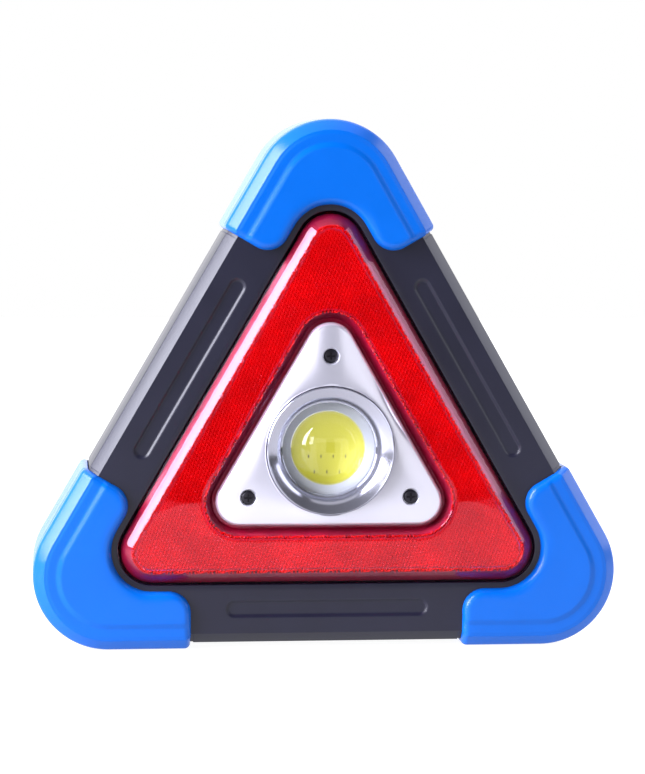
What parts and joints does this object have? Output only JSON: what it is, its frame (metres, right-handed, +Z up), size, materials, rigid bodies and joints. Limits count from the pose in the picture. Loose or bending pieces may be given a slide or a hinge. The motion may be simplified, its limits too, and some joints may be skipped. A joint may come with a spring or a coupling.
{
  "type": "warning triangle",
  "caption": "Battery warning triangle with red reflector ring, blue corner guards, central work light, folding rear stand, push button and battery door.",
  "frame": {"origin": "on the ground, under the middle of the bounding box", "axes": "+Z up towards the point of the triangle, the lit front faces -Y, +X is to the right as seen from the front"},
  "size_m": [0.1972, 0.0454, 0.1775],
  "materials": {
    "black_shell": "moulded ABS with a fine satin grain",
    "blue_guard": "satin moulded thermoplastic",
    "red_lens": "clear red acrylic with moulded prisms behind a polished face",
    "silver_bezel": "satin silver paint on plastic",
    "reflector_chrome": "vacuum-metallised",
    "clear_lens": "polished clear dome",
    "phosphor": "yellow silicone phosphor",
    "white_board": "white solder mask and moulded nylon",
    "heat_sink": "plain stamped and finned",
    "green_board": "green solder mask",
    "chip_black": "moulded epoxy and wire insulation",
    "wire_red": "wire insulation",
    "steel": "nickel-plated",
    "dark_screw": "black oxide",
    "cell_can": "plain printed sleeve without lettering",
    "led_red": "red epoxy lens"
  },
  "bodies": {
    "case": {"battery_cell_1": "cell_can", "battery_cell_2": "cell_can", "battery_cell_3": "cell_can", "battery_wire_minus": "chip_black", "battery_wire_plus": "wire_red", "bezel_screw_left": "dark_screw", "bezel_screw_right": "dark_screw", "bezel_screw_top": "dark_screw", "case_screw_1": "steel", "case_screw_2": "steel", "case_screw_3": "steel", "case_screw_4": "steel", "case_screw_5": "steel", "case_screw_6": "steel", "cob_board": "white_board", "cob_phosphor": "phosphor", "contact_spring_1": "steel", "contact_spring_2": "steel", "contact_spring_3": "steel", "contact_strip_left": "steel", "contact_strip_right": "steel", "control_board": "green_board", "corner_guard_front_left": "blue_guard", "corner_guard_front_right": "blue_guard", "corner_guard_front_top": "blue_guard", "corner_guard_rear_left": "blue_guard", "corner_guard_rear_right": "blue_guard", "corner_guard_rear_top": "blue_guard", "driver_chip": "chip_black", "front_shell": "black_shell", "heat_sink": "heat_sink", "lamp_bezel": "silver_bezel", "lamp_lens": "clear_lens", "lamp_spacer": "white_board", "lamp_wire_minus": "chip_black", "lamp_wire_plus": "wire_red", "led_board": "white_board", "rear_shell": "black_shell", "red_led_corner_left": "led_red", "red_led_corner_right": "led_red", "red_led_corner_top": "led_red", "red_led_side_left": "led_red", "red_led_side_right": "led_red", "red_led_side_top": "led_red", "reflector_lens": "red_lens", "reflector_ring": "reflector_chrome", "stand_pin_left": "steel", "stand_pin_right": "steel", "tact_switch": "steel", "warning_wire_minus": "chip_black", "warning_wire_plus": "wire_red"},
    "stand": {"stand": "black_shell"},
    "door": {"battery_door": "black_shell"},
    "button": {"power_button": "blue_guard"}
  },
  "joints": [
    {"name": "stand_hinge", "type": "hinge", "parent": "case", "child": "stand", "pos_m": [0, 0.02015, 0.104], "axis": [1, 0, 0], "range_deg": [0, 180]},
    {"name": "door_hinge", "type": "hinge", "parent": "case", "child": "door", "pos_m": [0, 0.01615, 0.0296], "axis": [-1, 0, 0], "range_deg": [0, 75]},
    {"name": "button_slide", "type": "slide", "parent": "case", "child": "button", "axis": [0, -1, 0], "range_m": [0, 0.0012], "stiffness_N_per_m": 1200}
  ]
}
